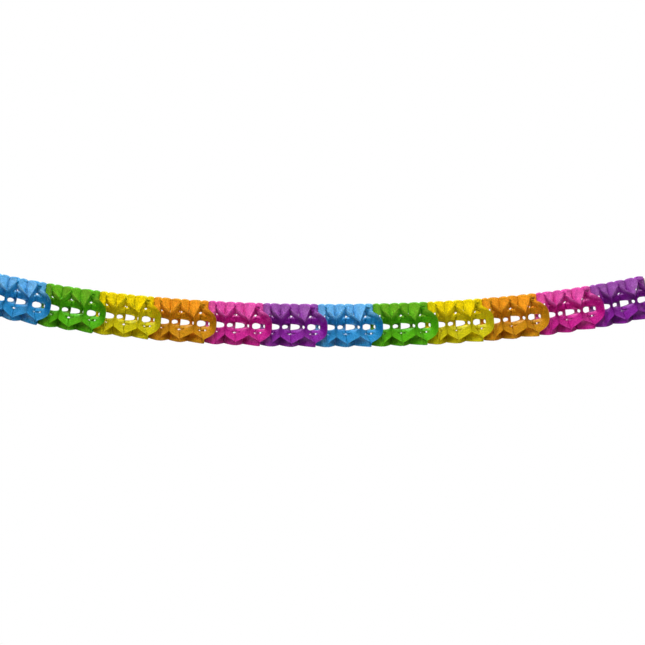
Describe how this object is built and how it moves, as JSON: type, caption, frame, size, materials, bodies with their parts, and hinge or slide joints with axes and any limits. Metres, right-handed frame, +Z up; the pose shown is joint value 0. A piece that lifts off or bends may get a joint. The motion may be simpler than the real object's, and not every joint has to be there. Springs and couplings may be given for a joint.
{
  "type": "tissue paper garland",
  "caption": "Rainbow garland of die-cut tissue-paper leaves glued alternately into open cells, pulled out and hanging in a shallow sag between two end cards.",
  "frame": {"origin": "centre of the left end card's hanging hole, where it opens outwards", "axes": "+X along the garland to its right end, +Z up, the front towards -Y"},
  "size_m": [2.0561, 0.131, 0.2214],
  "materials": {
    "blue_tissue": "matte tissue paper, dyed through",
    "green_tissue": "matte tissue paper, dyed through",
    "yellow_tissue": "matte tissue paper, dyed through",
    "orange_tissue": "matte tissue paper, dyed through",
    "pink_tissue": "matte tissue paper, dyed through",
    "purple_tissue": "matte tissue paper, dyed through",
    "end_card": "plain matte card"
  },
  "bodies": {
    "root": {"blue_1_leaf_pair_1": "blue_tissue", "blue_1_leaf_pair_2": "blue_tissue", "blue_1_leaf_pair_3": "blue_tissue", "green_1_leaf_pair_1": "green_tissue", "green_1_leaf_pair_2": "green_tissue", "green_1_leaf_pair_3": "green_tissue", "yellow_1_leaf_pair_1": "yellow_tissue", "yellow_1_leaf_pair_2": "yellow_tissue", "yellow_1_leaf_pair_3": "yellow_tissue", "orange_1_leaf_pair_1": "orange_tissue", "orange_1_leaf_pair_2": "orange_tissue", "orange_1_leaf_pair_3": "orange_tissue", "pink_1_leaf_pair_1": "pink_tissue", "pink_1_leaf_pair_2": "pink_tissue", "pink_1_leaf_pair_3": "pink_tissue", "purple_1_leaf_pair_1": "purple_tissue", "purple_1_leaf_pair_2": "purple_tissue", "purple_1_leaf_pair_3": "purple_tissue", "blue_2_leaf_pair_1": "blue_tissue", "blue_2_leaf_pair_2": "blue_tissue", "blue_2_leaf_pair_3": "blue_tissue", "green_2_leaf_pair_1": "green_tissue", "green_2_leaf_pair_2": "green_tissue", "green_2_leaf_pair_3": "green_tissue", "yellow_2_leaf_pair_1": "yellow_tissue", "yellow_2_leaf_pair_2": "yellow_tissue", "yellow_2_leaf_pair_3": "yellow_tissue", "orange_2_leaf_pair_1": "orange_tissue", "orange_2_leaf_pair_2": "orange_tissue", "orange_2_leaf_pair_3": "orange_tissue", "pink_2_leaf_pair_1": "pink_tissue", "pink_2_leaf_pair_2": "pink_tissue", "pink_2_leaf_pair_3": "pink_tissue", "purple_2_leaf_pair_1": "purple_tissue", "purple_2_leaf_pair_2": "purple_tissue", "purple_2_leaf_pair_3": "purple_tissue", "left_end_card": "end_card", "right_end_card": "end_card"}
  },
  "joints": []
}
